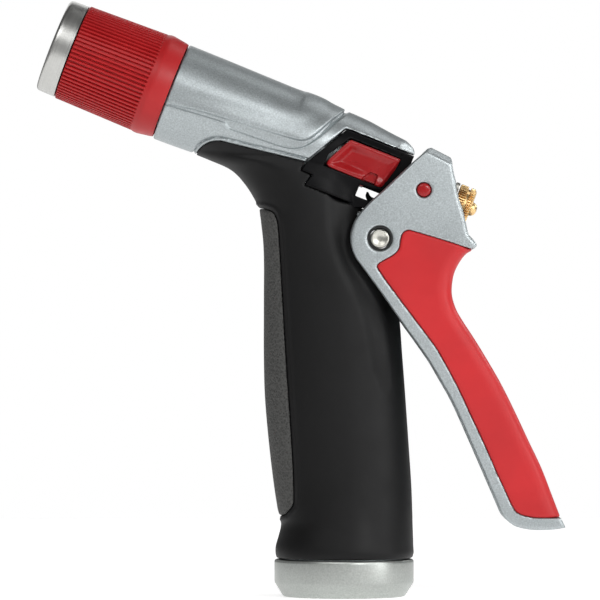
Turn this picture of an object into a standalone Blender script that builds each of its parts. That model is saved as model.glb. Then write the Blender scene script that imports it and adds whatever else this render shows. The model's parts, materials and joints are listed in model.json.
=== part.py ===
"""A metal garden hose nozzle with a twist head, a rear lever and a hold-open slide.

It stands on its hose collar: the origin is the middle of the bounding box's bottom, +Z is up, the head
points to -X and the lever is on the +X side. Sizes are in millimetres and turned into metres by MM.
"""
import math

import bmesh
import bpy
from mathutils import Matrix, Vector

MM = 0.001
GAP = 0.3

# Driving dimensions, in millimetres. The barrel's axis starts at the mouth's centre and falls to the rear.
MOUTH = (-70.35, 157.1)
TILT = math.radians(21.5)
PIVOT = (22.5, 101.7)
DOT = (34.9, 115.4)
HANDLE_X = 12.45
COLLAR_R = 19.85
COLLAR_TOP = 10.6
THREAD_R = 13.5
CHEEK_IN, CHEEK_OUT = 13.1, 15.5
STEM_R = 2.0
SPIGOT_R, BORE_R = 10.6, 8.9
CHAMBER_R = 9.3
SIDES = 36
HIDDEN_SIDES = 24
ROUND_SIDES = 48

COLOURS = {
    "silver": ((0.33, 0.36, 0.37), 0.38, 0.75),
    "steel": ((0.62, 0.61, 0.58), 0.25, 1.0),
    "red": ((0.55, 0.025, 0.03), 0.42, 0.0),
    "black": ((0.015, 0.015, 0.015), 0.5, 0.0),
    "rubber": ((0.03, 0.03, 0.03), 0.8, 0.0),
    "brass": ((0.56, 0.34, 0.11), 0.3, 1.0),
}


def clear_scene():
    for obj in list(bpy.data.objects):
        bpy.data.objects.remove(obj, do_unlink=True)


def new_collection(name):
    made = bpy.data.collections.new(name)
    bpy.context.scene.collection.children.link(made)
    return made


def new_material(name):
    colour, roughness, metallic = COLOURS[name]
    made = bpy.data.materials.new(name)
    made.use_nodes = True
    shader = made.node_tree.nodes["Principled BSDF"]
    shader.inputs["Base Color"].default_value = (*colour, 1)
    shader.inputs["Roughness"].default_value = roughness
    shader.inputs["Metallic"].default_value = metallic
    return made


clear_scene()
PARTS = new_collection("hose_nozzle")
CUTTERS = new_collection("cutters")
MATERIALS = {name: new_material(name) for name in COLOURS}


# ---------------------------------------------------------------- placing

def barrel(along, up):
    """World X and Z, in millimetres, of a point given along the barrel's axis and up from it."""
    return (
        MOUTH[0] + along * math.cos(TILT) + up * math.sin(TILT),
        MOUTH[1] - along * math.sin(TILT) + up * math.cos(TILT),
    )


AXIS_TURN = Matrix.Rotation(math.pi / 2 + TILT, 4, "Y")
BARREL_AXIS = Matrix.Translation((MOUTH[0] * MM, 0, MOUTH[1] * MM)) @ AXIS_TURN
ACROSS = Matrix.Rotation(math.pi / 2, 4, "X")


def upright(x, z=0):
    return Matrix.Translation((x * MM, 0, z * MM))


def crosswise(x, z):
    """Turns a shape's own Z axis to run along Y, at a point of the side view."""
    return Matrix.Translation((x * MM, 0, z * MM)) @ ACROSS


def object_of(name, mesh, place=None):
    made = bpy.data.objects.new(name, mesh)
    CUTTERS.objects.link(made)
    made.hide_render = True
    made.display_type = "WIRE"
    made.matrix_world = place or Matrix()
    return made


def mesh_from(source, place=None):
    """The evaluated shape of an object as a new mesh object; the source is removed."""
    bpy.context.view_layer.update()
    graph = bpy.context.evaluated_depsgraph_get()
    mesh = bpy.data.meshes.new_from_object(source.evaluated_get(graph))
    work = bmesh.new()
    work.from_mesh(mesh)
    bmesh.ops.remove_doubles(work, verts=work.verts, dist=1e-6)
    bmesh.ops.recalc_face_normals(work, faces=work.faces)
    work.to_mesh(mesh)
    work.free()
    name, matrix = source.name, source.matrix_world.copy()
    bpy.data.objects.remove(source, do_unlink=True)
    return object_of(name, mesh, place or matrix)


# ---------------------------------------------------------------- shapes

def turned(name, profile, place, steps=SIDES):
    """A turned solid. The profile holds (radius, height) points down its outer side, then back up inside."""
    mesh = bpy.data.meshes.new(name)
    points = [(radius * MM, 0, height * MM) for radius, height in profile]
    solid = profile[0][0] == 0 and profile[-1][0] == 0
    count = len(points)
    edges = [(i, (i + 1) % count) for i in range(count - solid)]
    mesh.from_pydata(points, edges, [])
    made = object_of(name, mesh, place)
    screw = made.modifiers.new("turn", "SCREW")
    screw.steps = screw.render_steps = steps
    screw.use_merge_vertices = True
    screw.merge_threshold = 1e-6
    screw.use_smooth_shade = True
    return mesh_from(made, place)


def ring(name, outer, inner, start, end, place, bevel=0.0, steps=SIDES):
    """A plain ring or, with inner 0, a disc, between two heights, its outer corners cut by bevel."""
    profile = [(outer - bevel, end), (outer, end - bevel), (outer, start + bevel), (outer - bevel, start)]
    if not bevel:
        profile = [(outer, end), (outer, start)]
    profile += [(inner, start), (inner, end)]
    if not inner:
        profile = profile[-1:] + profile[:-1]
    return turned(name, profile, place, steps)


def plate(name, outline, half_width, middle=0.0):
    """An outline of the side view, (x, z) points, as a plate across Y."""
    curve = bpy.data.curves.new(name, "CURVE")
    curve.dimensions = "2D"
    curve.fill_mode = "BOTH"
    curve.extrude = half_width * MM
    spline = curve.splines.new("POLY")
    spline.points.add(len(outline) - 1)
    for point, (x, z) in zip(spline.points, outline):
        point.co = (x * MM, z * MM, 0, 1)
    spline.use_cyclic_u = True
    made = object_of(name, curve, Matrix.Translation((0, middle * MM, 0)) @ ACROSS)
    return mesh_from(made)


def along_barrel(name, outline, half_width):
    """A plate whose outline is given as (along, up) points of the barrel."""
    return plate(name, [barrel(*point) for point in outline], half_width)


def loft(name, rings):
    """A closed solid through rings of equally many points, its ends filled flat."""
    work = bmesh.new()
    rows = [[work.verts.new(Vector(point) * MM) for point in row] for row in rings]
    for low, high in zip(rows, rows[1:]):
        for i in range(len(low)):
            j = (i + 1) % len(low)
            work.faces.new((low[i], low[j], high[j], high[i]))
    work.faces.new(rows[0][::-1])
    work.faces.new(rows[-1])
    bmesh.ops.recalc_face_normals(work, faces=work.faces)
    mesh = bpy.data.meshes.new(name)
    work.to_mesh(mesh)
    work.free()
    return object_of(name, mesh)


def bent_tube(name, points, radius, sides=32):
    """A straight or bent round bar through (x, z) points."""
    curve = bpy.data.curves.new(name, "CURVE")
    curve.dimensions = "3D"
    curve.bevel_depth = radius * MM
    curve.bevel_resolution = sides // 2 - 2
    curve.use_fill_caps = True
    spline = curve.splines.new("POLY")
    spline.points.add(len(points) - 1)
    for point, (x, z) in zip(spline.points, points):
        point.co = (x * MM, 0, z * MM, 1)
    return mesh_from(object_of(name, curve))


def combine(target, others, operation):
    for other in others:
        step = target.modifiers.new(operation.lower(), "BOOLEAN")
        step.operation = operation
        step.object = other
    return target


def cut(target, *others):
    return combine(target, others, "DIFFERENCE")


def join(target, *others):
    return combine(target, others, "UNION")


def keep(target, *others):
    return combine(target, others, "INTERSECT")


def node(target, material, origin=None):
    """Makes a shape a sub-part: its modifiers settled, shown, shaded smooth, its origin on its axis."""
    made = mesh_from(target)
    name = made.name
    CUTTERS.objects.unlink(made)
    PARTS.objects.link(made)
    made.hide_render = False
    made.display_type = "TEXTURED"
    if origin is not None:
        point = Vector((origin[0] * MM, 0, origin[1] * MM))
        move = Matrix.Translation(point)
        made.data.transform(move.inverted() @ made.matrix_world)
        made.matrix_world = move
    made.data.materials.clear()
    made.data.materials.append(MATERIALS[material])
    made.data.shade_smooth()
    made.data.set_sharp_from_angle(angle=math.radians(35))
    made.name = name
    return made


def offset(points, distance):
    """The open or closed line moved sideways, to the left of its direction, by its own normals."""
    moved = []
    for i, (x, z) in enumerate(points):
        x0, z0 = points[max(i - 1, 0)]
        x1, z1 = points[min(i + 1, len(points) - 1)]
        length = math.hypot(x1 - x0, z1 - z0)
        moved.append((x - (z1 - z0) / length * distance, z + (x1 - x0) / length * distance))
    return moved


def circle(x, z, radius, count=24):
    steps = [2 * math.pi * i / count for i in range(count)]
    return [(x + radius * math.cos(a), z + radius * math.sin(a)) for a in steps]


# ---------------------------------------------------------------- outlines of the side view

# Height, front, rear and half width of the handle, from the foot up to the barrel.
HANDLE = [
    (10.9, -6.4, 31.6, 18.7), (12.4, -7.1, 32.3, 19.4), (14.4, -7.0, 32.2, 19.2), (17.6, -6.0, 32.1, 18.4),
    (20.5, -5.5, 32.0, 17.7), (24.0, -6.1, 31.9, 17.1), (32.0, -7.2, 31.6, 16.2), (44.0, -8.6, 30.8, 15.6),
    (57.0, -9.7, 29.9, 15.2), (69.0, -10.0, 29.0, 15.0), (79.0, -10.0, 28.2, 14.8), (87.0, -10.0, 26.6, 14.7),
    (94.0, -10.0, 23.5, 14.6), (100.0, -10.2, 20.6, 14.5), (105.0, -10.7, 19.4, 14.4),
    (109.5, -11.4, 19.2, 14.3), (113.6, -13.4, 19.2, 14.1), (116.6, -15.3, 19.0, 13.9),
    (119.6, -17.7, 18.0, 13.7), (122.0, -20.2, 15.0, 13.4), (124.0, -24.4, 11.0, 12.6),
    (125.3, -27.2, 6.0, 11.0), (126.6, -29.8, 2.0, 8.0),
]
HANDLE_ROUNDNESS = 2.25
HANDLE_POINTS = 36

# The edge between the silver barrel and the black sleeve, along and up the barrel.
SLEEVE_EDGE = [(47.6, -15.5), (48.0, -12.9), (48.9, -10.6), (50.8, -8.6), (53.5, -7.3), (79.6, -4.0)]

# The lever's outline: its front from the top down, the foot, and its rear back up.
LEVER_FRONT = [
    (36.1, 127.2), (31.6, 123.2), (23.6, 115.6), (19.8, 112.2), (17.1, 109.3), (15.2, 106.5), (14.2, 103.4),
    (14.1, 101.2), (14.5, 98.9), (15.6, 96.2), (17.5, 93.6), (22.1, 87.3), (28.4, 78.3), (36.0, 67.6),
    (39.8, 61.2), (43.6, 54.3), (49.7, 40.6), (55.9, 26.3), (57.3, 23.2), (58.8, 21.6), (61.1, 20.1),
    (64.5, 19.3), (68.3, 19.1), (72.1, 19.3), (75.2, 19.8),
]
PAD_REAR = [
    (73.7, 22.8), (71.1, 29.6), (68.3, 36.8), (64.5, 44.8), (60.7, 52.9), (56.9, 60.5), (53.1, 67.1),
    (49.3, 73.3), (45.9, 78.5), (44.1, 81.7), (43.0, 85.2), (42.9, 88.2), (43.5, 91.7), (44.9, 94.7),
    (46.8, 97.2), (48.8, 98.4),
]
LEVER_BACK = [
    (49.9, 99.6), (49.6, 100.5), (48.7, 101.6), (47.5, 103.1), (46.8, 106.1), (46.0, 109.5), (45.0, 112.6),
    (44.3, 115.6), (44.0, 117.9), (43.5, 120.2), (42.8, 124.2), (42.4, 124.7), (37.1, 127.4),
]
PAD_FRONT = [
    (31.2, 103.9), (28.7, 103.1), (28.3, 101.2), (27.8, 98.9), (26.2, 97.0), (23.6, 95.5), (21.9, 94.0),
    (23.6, 90.5), (28.8, 83.5), (32.2, 79.0), (37.9, 71.4), (40.7, 66.7), (44.5, 59.6), (48.3, 51.5),
    (52.1, 43.4), (55.4, 35.8), (58.3, 29.6), (60.2, 25.4), (62.1, 23.7), (64.5, 23.0), (67.8, 22.5),
]


# ---------------------------------------------------------------- the body

def handle_form(name, inset=0.0):
    """The handle's outer form, or the same form drawn in by inset."""
    rings = []
    for height, front, rear, half in HANDLE:
        middle, reach, width = (front + rear) / 2, (rear - front) / 2 - inset, half - inset
        row = []
        for i in range(HANDLE_POINTS):
            turn = 2 * math.pi * i / HANDLE_POINTS
            c, s = math.cos(turn), math.sin(turn)
            power = 2 / HANDLE_ROUNDNESS
            row.append((
                middle + reach * math.copysign(abs(c) ** power, c),
                width * math.copysign(abs(s) ** power, s),
                height,
            ))
        rings.append(row)
    return loft(name, rings)


def sleeve_zone(name, shrink=0.0):
    """Everything below the sleeve's edge on the barrel, and below the housing's seam."""
    edge = [(along + shrink, up - shrink) for along, up in SLEEVE_EDGE]
    seam = [(78.6, -7.9 - shrink), (81.2, -8.0 - shrink), (81.3, -11.4 - shrink), (101.0, -11.4 - shrink)]
    return along_barrel(name, edge + seam + [(200, -60), (200, -200), (0, -200), (47.6, -60)], 30)


def pivot_lug(name, grow=0.0):
    """The boss that carries the lever's pin, on an arm from the handle's core."""
    arm = [(2, 108 + grow), (2, 88 - grow), (14 + grow, 88 - grow), (24 + grow, 96.5 - grow)]
    arm += [(24 + grow, 107 + grow), (16, 109.5 + grow)]
    boss = plate(name + "_boss", circle(*PIVOT, 5.6 + grow, 28), 12.3 + grow)
    return join(plate(name, arm, 9.0 + grow), boss)


WATER_WAY = [(HANDLE_X, 9.0), (HANDLE_X, 30.0), (5.5, 98.0), (-3.5, 124.5)]
TUBE_R, WATER_R = 9.4, 6.5


def casting_core(name, grow=0.0):
    """The casting inside the sleeve: chamber wall, water tube and foot flange."""
    chamber = ring(name, 12.0 + grow, 0, 46, 83 + grow, BARREL_AXIS)
    tube = bent_tube(name + "_tube", [(HANDLE_X, 9.0 - grow)] + WATER_WAY[1:], TUBE_R + grow, 28)
    flange = ring(name + "_flange", 17.2 + grow, 0, 9.0 - grow, 14.0 + grow, upright(HANDLE_X))
    return join(chamber, tube, flange, pivot_lug(name + "_lug", grow))


def make_body_casting():
    outer = turned("body_casting", [
        (0, 107.4), (7.0, 107.5), (8.8, 107.5), (9.6, 107.0), (10.5, 105.2), (11.3, 103.4), (11.6, 100.5),
        (12.1, 96.2), (12.66, 91.9), (12.9, 87.7), (12.95, 84.7), (13.5, 84.2), (13.9, 79.0), (14.0, 74.0),
        (13.8, 68.0), (14.2, 44.0), (14.3, 36.6), (0, 36.6),
    ], BARREL_AXIS, ROUND_SIDES)
    behind = [(86.4, 8.2), (115, 8.2), (115, -40), (46, -40)] + SLEEVE_EDGE
    cut(outer, along_barrel("behind_barrel", behind, 30))
    spigot = ring("spigot", SPIGOT_R, 0, 22.3, 37.6, BARREL_AXIS)
    gland_boss = ring("gland_boss", 6.5, 0, 82.5, 88.0, BARREL_AXIS)
    join(outer, casting_core("core"), spigot, gland_boss)
    bores = turned("bores", [
        (0, 95), (4.6, 95), (4.6, 82), (2.5, 82), (2.5, 79), (CHAMBER_R, 79), (CHAMBER_R, 40.6),
        (5.2, 40.6), (5.2, 38), (BORE_R, 38), (BORE_R, 20), (0, 20),
    ], BARREL_AXIS)
    water = bent_tube("water_way", [(HANDLE_X, 4.0)] + WATER_WAY[1:], WATER_R, 24)
    groove = ring("spigot_groove", 14, 9.9, 28.6, 30.4, BARREL_AXIS)
    pin_hole = turned("pin_hole", [(0, 20), (2.9, 20), (2.9, -20), (0, -20)], crosswise(*PIVOT), 28)
    cut(outer, bores, water, groove, pin_hole)
    node(outer, "silver")


def pad_zone(name, grow=0.0):
    """The front of the handle that the textured pad fills."""
    inner = [
        (-9.6, 109.9), (-7.7, 109.0), (-6.6, 106.6), (-6.2, 103.3), (-5.8, 97.5), (-5.4, 90.4), (-4.2, 69.2),
        (-2.8, 48.6), (-2.1, 36.8), (-1.9, 28.2), (-2.1, 26.1), (-3.5, 24.4), (-5.3, 23.0),
    ]
    inner = offset(inner, grow) if grow else inner
    return plate(name, inner + [(-16, 23.0 - grow), (-16, 109.9 + grow)], 20)


def make_sleeve_and_pad():
    pad = keep(handle_form("grip_pad"), pad_zone("pad_zone"))
    cut(pad, handle_form("under_pad", 1.6))
    node(pad, "rubber")

    sleeve = handle_form("grip_sleeve")
    tongue = turned("tongue", [
        (0, 95), (13.2, 95), (13.7, 80), (14.1, 60), (14.1, 47.0), (0, 47.0),
    ], BARREL_AXIS, ROUND_SIDES)
    join(sleeve, keep(tongue, along_barrel("tongue_zone", [
        (46, -20), (46, -3), (94, -3), (94, -20),
    ], 30)))
    keep(sleeve, sleeve_zone("sleeve_zone", GAP))
    pocket = cut(pad_zone("pad_pocket", GAP), handle_form("pocket_floor", 1.6 + GAP))
    core = casting_core("core_room", GAP)
    cut(sleeve, mesh_from(pocket), mesh_from(core))
    relief = [
        (12.4, 96.5), (15.5, 89.2), (18.3, 82.6), (20.8, 73.8), (22.2, 66), (40, 60), (40, 125), (15.2, 125),
        (12.6, 118), (11.5, 108),
    ]
    for side in (-1, 1):
        cut(sleeve, plate(f"relief_{side}", relief, 4.0, middle=side * (12.4 + 4.0)))
    node(sleeve, "rubber")


def make_collar():
    profile = [
        (19.3, COLLAR_TOP), (COLLAR_R, COLLAR_TOP - 0.6), (COLLAR_R, 4.0), (19.5, 3.4), (17.1, 0),
        (THREAD_R + 0.4, 0), (THREAD_R, 0.8), (THREAD_R, 8.7), (17.5, 8.7), (17.5, COLLAR_TOP),
    ]
    node(turned("hose_collar", profile, upright(HANDLE_X), ROUND_SIDES), "silver")
    node(ring("hose_washer", 13.1, 8.4, 5.9, 8.5, upright(HANDLE_X)), "rubber")


def make_housing():
    form = turned("rear_housing", [
        (0, 107.0), (9.0, 107.0), (10.6, 104.6), (11.5, 100.5), (12.2, 94.0), (12.7, 88.0), (13.6, 80.0),
        (13.6, 77.5), (0, 77.5),
    ], BARREL_AXIS, ROUND_SIDES)
    join(form, handle_form("housing_flanks"))
    side = [
        (80.6, -4.4), (86.7, 7.9), (107.0, 7.9), (106.4, 5.9), (86.9, 5.9), (84.4, -0.5), (84.4, -4.4),
        (103.8, -4.4), (103.8, -5.3), (95.8, -5.3), (95.8, -9.4), (96.6, -11.0), (81.5, -11.0),
        (82.3, -7.7), (79.2, -7.6), (80.0, -4.9),
    ]
    keep(form, along_barrel("housing_side", side, 20))
    hollow = [(83.0 + GAP, -9.3), (83.0 + GAP, 7.0), (120, 7.0), (120, -9.3)]
    cut(form, along_barrel("housing_hollow", hollow, 9.2))
    shield = along_barrel("stem_shield", [(103.9, -4.3), (103.9, 7.4), (106.4, 7.4), (106.4, -4.3)], 9.0)
    stem_hole = turned("stem_hole", [(0, 110), (2.6, 110), (2.6, 100), (0, 100)], BARREL_AXIS)
    join(form, cut(shield, stem_hole))
    cut(form, mesh_from(casting_core("housing_room", GAP)))
    node(form, "black")


def make_lock():
    """A saddle over the stem: a dished plate on each side, a bridge, and a tooth under the stem."""
    side = [
        (84.9, -3.4), (85.5, -4.0), (96.1, -4.0), (98.0, -0.9), (100.4, -0.9), (100.4, -4.0), (104.0, -4.0),
        (104.0, 5.5), (89.2, 5.5), (88.6, 5.0),
    ]
    form = along_barrel("lock_slide", side, 11.6)
    cut(form, along_barrel("lock_hollow", [(80, -8), (80, 8), (110, 8), (110, -8)], 9.5))
    bridge = along_barrel("lock_bridge", [(93.6, 4.1), (93.6, 5.5), (99.0, 5.5), (99.0, 4.1)], 10.2)
    tooth = along_barrel("lock_tooth", [(94.9, -5.6), (94.9, -2.7), (96.8, -2.7), (96.8, -5.6)], 8.9)
    web = along_barrel("lock_web", [(94.9, -3.9), (94.9, -2.7), (96.0, -2.7), (96.0, -3.9)], 10.2)
    node(join(form, bridge, tooth, web), "red", barrel(95, 0))


# ---------------------------------------------------------------- head and valve

def make_head():
    node(turned("bezel_ring", [
        (13.75, 5.6), (13.4, 1.2), (12.9, 0.4), (12.1, 0.0), (11.3, 0.4), (10.9, 1.2), (10.9, 5.6),
    ], BARREL_AXIS, ROUND_SIDES), "steel", MOUTH)
    node(turned("head_grip", [
        (14.0, 35.9), (14.8, 31.2), (14.8, 30.5), (14.55, 29.5), (14.0, 6.4), (13.6, 5.9), (12.6, 5.9),
        (12.6, 35.9),
    ], BARREL_AXIS, ROUND_SIDES), "red", MOUTH)
    node(turned("head_hub", [
        (12.3, 35.6), (12.3, 6.0), (10.6, 5.6), (10.6, 1.6), (9.9, 1.6), (8.9, 8.0), (8.9, 21.7),
        (10.9, 21.7), (10.9, 28.6), (11.5, 28.6), (11.5, 30.4), (10.9, 30.4), (10.9, 35.6),
    ], BARREL_AXIS), "black", MOUTH)
    node(ring("head_snap_ring", 11.2, 10.15, 28.95, 30.05, BARREL_AXIS, 0, HIDDEN_SIDES), "steel")
    node(turned("throat_sleeve", [
        (8.6, 28.0), (8.6, 26.4), (7.2, 26.4), (7.2, 24.2), (8.6, 24.2), (8.6, 6.4), (8.2, 6.0), (5.2, 6.0),
        (4.2, 7.2), (4.2, 9.0), (6.4, 11.0), (6.4, 28.0),
    ], BARREL_AXIS, HIDDEN_SIDES), "black", MOUTH)
    node(ring("throat_o_ring", 8.65, 7.45, 24.5, 26.1, BARREL_AXIS, 0.3, HIDDEN_SIDES), "rubber", MOUTH)


def make_valve():
    node(turned("spray_cone", [
        (0, 10.5), (1.7, 10.5), (3.5, 5.4), (3.3, 4.9), (0, 4.4),
    ], BARREL_AXIS, 32), "brass", MOUTH)
    tip = [(0, 129.5), (0.9, 129.3), (1.6, 128.8), (STEM_R, 128.0)]
    node(turned("valve_stem", tip + [
        (STEM_R, 43.0), (1.5, 42.4), (1.5, 10.8), (0, 10.8),
    ], BARREL_AXIS, 24), "brass", MOUTH)
    node(ring("valve_seat", 9.0, 4.4, 40.9, 43.2, BARREL_AXIS, 0, HIDDEN_SIDES), "brass")
    node(ring("valve_plug", 6.8, STEM_R + GAP, 43.6, 47.6, BARREL_AXIS, 0, HIDDEN_SIDES), "rubber", MOUTH)
    node(turned("plug_retainer", [
        (4.6, 52.6), (4.6, 50.4), (7.3, 50.4), (7.3, 47.9), (STEM_R + GAP, 47.9), (STEM_R + GAP, 52.6),
    ], BARREL_AXIS, HIDDEN_SIDES), "brass", MOUTH)
    node(ring("stem_packing", 4.3, STEM_R + GAP, 82.3, 86.0, BARREL_AXIS, 0, HIDDEN_SIDES), "rubber")
    nut = turned("gland_nut", [
        (5.0, 92.4), (5.0, 88.3), (4.3, 88.3), (4.3, 86.3), (2.8, 86.3), (2.8, 92.4),
    ], BARREL_AXIS, 6)
    node(nut, "brass")
    node(ring("thrust_washer", 5.7, STEM_R + GAP, 121.3, 122.5, BARREL_AXIS, 0.2, 28), "steel", MOUTH)
    node(turned("adjusting_nut", [
        (5.0, 127.7), (5.6, 127.1), (5.6, 125.9), (4.9, 125.6), (5.6, 125.3), (5.6, 123.3), (5.1, 122.8),
        (STEM_R + GAP, 122.8), (STEM_R + GAP, 127.7),
    ], BARREL_AXIS, 36), "brass", MOUTH)


def make_spring():
    start, end, turns, radius, wire = 51.6, 78.2, 7, 6.0, 0.65
    curve = bpy.data.curves.new("return_spring", "CURVE")
    curve.dimensions = "3D"
    curve.bevel_depth = wire * MM
    curve.bevel_resolution = 1
    curve.use_fill_caps = True
    spline = curve.splines.new("POLY")
    count = turns * 12
    spline.points.add(count)
    for i, point in enumerate(spline.points):
        turn = 2 * math.pi * turns * i / count
        x, y = radius * math.cos(turn), radius * math.sin(turn)
        point.co = (x * MM, y * MM, (start + (end - start) * i / count) * MM, 1)
    node(mesh_from(object_of("return_spring", curve, BARREL_AXIS)), "steel")


# ---------------------------------------------------------------- lever

def narrowing(height):
    """The lever's half width as a share of its full half width: it narrows below the pivot."""
    top, foot, least = 86.0, 30.0, 0.72
    share = min(max((top - height) / (top - foot), 0), 1)
    return 1 - (1 - least) * share


def taper(obj):
    """Settles the shape, adds cuts across it, and draws its sides in towards the foot."""
    made = mesh_from(obj)
    work = bmesh.new()
    work.from_mesh(made.data)
    bmesh.ops.transform(work, matrix=made.matrix_world, verts=work.verts)
    bmesh.ops.triangulate(work, faces=work.faces)
    for height in (86.0, 67.0, 48.0, 30.0):
        parts = work.verts[:] + work.edges[:] + work.faces[:]
        bmesh.ops.bisect_plane(work, geom=parts, plane_co=(0, 0, height * MM), plane_no=(0, 0, 1), dist=1e-7)
    for vert in work.verts:
        vert.co.y *= narrowing(vert.co.z / MM)
    work.to_mesh(made.data)
    work.free()
    made.matrix_world = Matrix()
    return made


PAD_SKIN = 1.2


def make_lever():
    rear = PAD_REAR + LEVER_BACK
    form = plate("lever", LEVER_FRONT + rear, CHEEK_OUT)
    web = offset(PAD_REAR, 3.6)
    hollow = [(49.5, 101.5), (55, 108), (55, 120.3), barrel(117.2, 9.2), barrel(110.6, 9.3)]
    hollow += [(20, 130), (0, 110), (0, 60), (50, 0), (66.0, 10)]
    hollow += [(66.5, 26.0)] + web[2:-1] + [(46.0, 101.0)]
    cut(form, plate("lever_hollow", hollow, CHEEK_IN))
    room_edge = offset(PAD_FRONT, -GAP) + [(67.8, 22.2), (75.5, 22.4)]
    room_edge += offset(PAD_REAR, -3)[1:] + [(49.3, 99.0)]
    inside = offset(PAD_REAR, PAD_SKIN + GAP)
    core_edge = [(80, 10), (inside[0][0], 10)] + inside[1:] + [(47.6, 104), (10, 120), (0, 20)]
    room = cut(plate("pad_room", room_edge, 20), plate("pad_core", core_edge, 14.2))
    cut(form, mesh_from(room))
    for name, (x, z), radius in (("pin_bore", PIVOT, 3.8), ("dot_bore", DOT, 2.3)):
        cut(form, turned(name, [(0, 20), (radius, 20), (radius, -20), (0, -20)], crosswise(x, z), 28))
    node(taper(form), "silver", PIVOT)

    pad = plate("lever_pad", PAD_FRONT + PAD_REAR, 15.6)
    under = offset(PAD_REAR, PAD_SKIN)
    inner = [(under[0][0], 10)] + under[1:] + [(47.4, 104), (10, 120), (0, 20)]
    cut(pad, plate("pad_hollow", inner, 14.5))
    node(taper(pad), "red", PIVOT)

    x, z = barrel(106.2, -7.4)
    bar = plate("latch_hook", circle(x, z, 2.0, 16), CHEEK_IN - GAP)
    arm = [
        (98.5, -6.4), (99.2, -6.5), (101.2, -7.1), (104.6, -5.9), (106.5, -8.6), (104.0, -9.2), (100.2, -8.7),
        (98.8, -7.6),
    ]
    node(join(bar, along_barrel("hook_arm", arm, 4.0)), "black", PIVOT)

    for name, side in (("pin_bush_left", -1), ("pin_bush_right", 1)):
        low, high = sorted((side * 12.8, side * 15.3))
        bush = ring(name, 3.5, 2.9, low, high, crosswise(*PIVOT), 0, 28)
        node(bush, "black", PIVOT)
    pin = turned("pivot_pin", [(0, 15.6), (2.2, 15.6), (2.6, 15.2), (2.6, -15.2), (2.2, -15.6), (0, -15.6)],
                 crosswise(*PIVOT), 28)
    node(pin, "steel", PIVOT)

    block = along_barrel("stem_yoke", [(110.2, -5.2), (110.2, 5.0), (120.8, 5.0), (120.8, -5.2)], 6.8)
    arms = turned("yoke_arms", [
        (0, 15.3), (STEM_R, 15.3), (STEM_R, 12.7), (2.9, 12.7), (2.9, -12.7), (STEM_R, -12.7),
        (STEM_R, -15.3), (0, -15.3),
    ], crosswise(*DOT), 24)
    slot = [(100, -STEM_R - 0.4), (100, 12), (130, 12), (130, -STEM_R - 0.4)]
    node(cut(join(block, arms), along_barrel("yoke_slot", slot, STEM_R + 0.4)), "red", DOT)


make_body_casting()
make_sleeve_and_pad()
make_collar()
make_housing()
make_lock()
make_head()
make_valve()
make_spring()
make_lever()

for helper in list(CUTTERS.objects):
    bpy.data.objects.remove(helper, do_unlink=True)
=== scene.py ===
"""The looks of the garden hose nozzle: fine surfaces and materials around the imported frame."""

import json
import math

import bmesh
import bpy
import numpy as np
from mathutils import Matrix, Vector


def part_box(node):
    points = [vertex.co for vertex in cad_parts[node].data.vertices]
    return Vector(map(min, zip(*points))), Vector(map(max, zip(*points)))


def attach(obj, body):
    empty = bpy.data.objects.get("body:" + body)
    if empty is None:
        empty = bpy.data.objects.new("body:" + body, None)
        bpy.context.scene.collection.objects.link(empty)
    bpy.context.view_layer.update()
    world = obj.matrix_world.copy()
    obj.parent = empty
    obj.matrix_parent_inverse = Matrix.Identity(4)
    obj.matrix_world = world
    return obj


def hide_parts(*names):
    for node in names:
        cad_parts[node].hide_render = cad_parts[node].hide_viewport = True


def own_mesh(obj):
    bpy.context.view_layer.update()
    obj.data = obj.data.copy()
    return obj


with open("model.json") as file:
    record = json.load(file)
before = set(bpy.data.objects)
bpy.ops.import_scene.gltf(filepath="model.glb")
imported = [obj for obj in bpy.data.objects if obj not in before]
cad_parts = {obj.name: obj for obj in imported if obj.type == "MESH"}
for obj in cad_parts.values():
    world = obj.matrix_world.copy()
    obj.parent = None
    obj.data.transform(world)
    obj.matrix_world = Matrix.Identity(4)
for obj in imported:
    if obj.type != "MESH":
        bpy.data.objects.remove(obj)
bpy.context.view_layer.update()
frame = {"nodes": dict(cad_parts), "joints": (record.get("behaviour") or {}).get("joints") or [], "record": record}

# Lengths below are in millimetres, turned into metres by MM where a mesh is made. Many are taken
# from the barrel: s from its mouth along its axis, p up from the axis, and r out from it.
MM = 0.001
FAR = 1e9
NODES = frame["nodes"]
JOINTS = {joint["name"]: joint for joint in frame["joints"]}


def side_point(joint):
    """A joint's place in the side view, as x and z in millimetres."""
    x, _, z = JOINTS[joint]["pos_m"]
    return x / MM, z / MM


def box_mm(node):
    low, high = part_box(node)
    return [value / MM for value in low], [value / MM for value in high]


MOUTH = side_point("head_turn")
PIVOT = side_point("lever_squeeze")
DOT = side_point("yoke_turn")
HEAD_AXIS = JOINTS["head_turn"]["axis"]
TILT = math.atan2(-HEAD_AXIS[2], HEAD_AXIS[0])
LEAN = math.pi / 2 + TILT  # from upright to the barrel's axis
COLLAR_LOW, COLLAR_HIGH = box_mm("hose_collar")
COLLAR_X = (COLLAR_LOW[0] + COLLAR_HIGH[0]) / 2
COLLAR_R = (COLLAR_HIGH[0] - COLLAR_LOW[0]) / 2
BARREL_AXIS = Matrix.Translation((MOUTH[0], 0, MOUTH[1])) @ Matrix.Rotation(LEAN, 4, "Y")
UPRIGHT = Matrix.Translation((COLLAR_X, 0, 0))


def barrel(along, up):
    """Side view x and z of a point given along the barrel's axis and up from it."""
    return (
        MOUTH[0] + along * math.cos(TILT) + up * math.sin(TILT),
        MOUTH[1] - along * math.sin(TILT) + up * math.cos(TILT),
    )


def to_barrel(x, z):
    """The way back: s along the barrel's axis and p up from it."""
    dx, dz = x - MOUTH[0], z - MOUTH[1]
    return dx * math.cos(TILT) - dz * math.sin(TILT), dx * math.sin(TILT) + dz * math.cos(TILT)


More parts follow.
